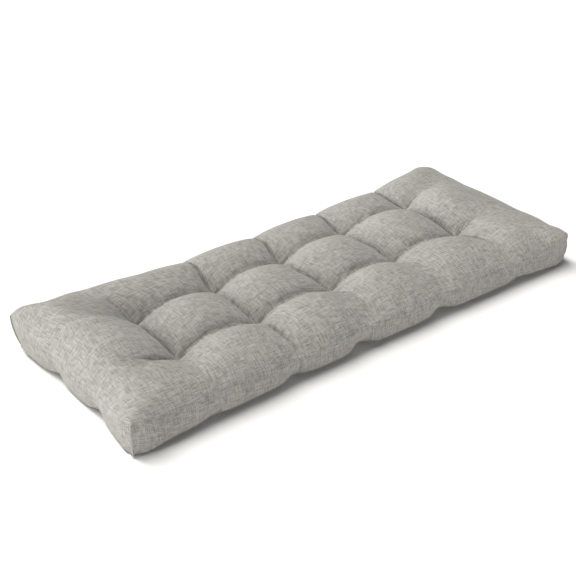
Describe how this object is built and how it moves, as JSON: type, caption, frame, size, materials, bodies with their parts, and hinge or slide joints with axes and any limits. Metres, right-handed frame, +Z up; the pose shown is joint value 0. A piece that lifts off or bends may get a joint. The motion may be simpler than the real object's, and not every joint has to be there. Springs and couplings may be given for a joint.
{
  "type": "bench cushion",
  "caption": "Long tufted bench cushion in heathered linen-look cloth, stuffed, with drawn-in sides and boxed corners, lying flat.",
  "frame": {"origin": "on the surface the cushion lies on, under the middle of its outline", "axes": "+X along the length, +Y across the width towards the back, +Z up through the tufted face"},
  "size_m": [1.21, 0.4848, 0.1153],
  "materials": {
    "cover_cloth": "matt heathered plain weave, light warm grey"
  },
  "bodies": {
    "root": {"cushion": "cover_cloth"}
  },
  "joints": []
}
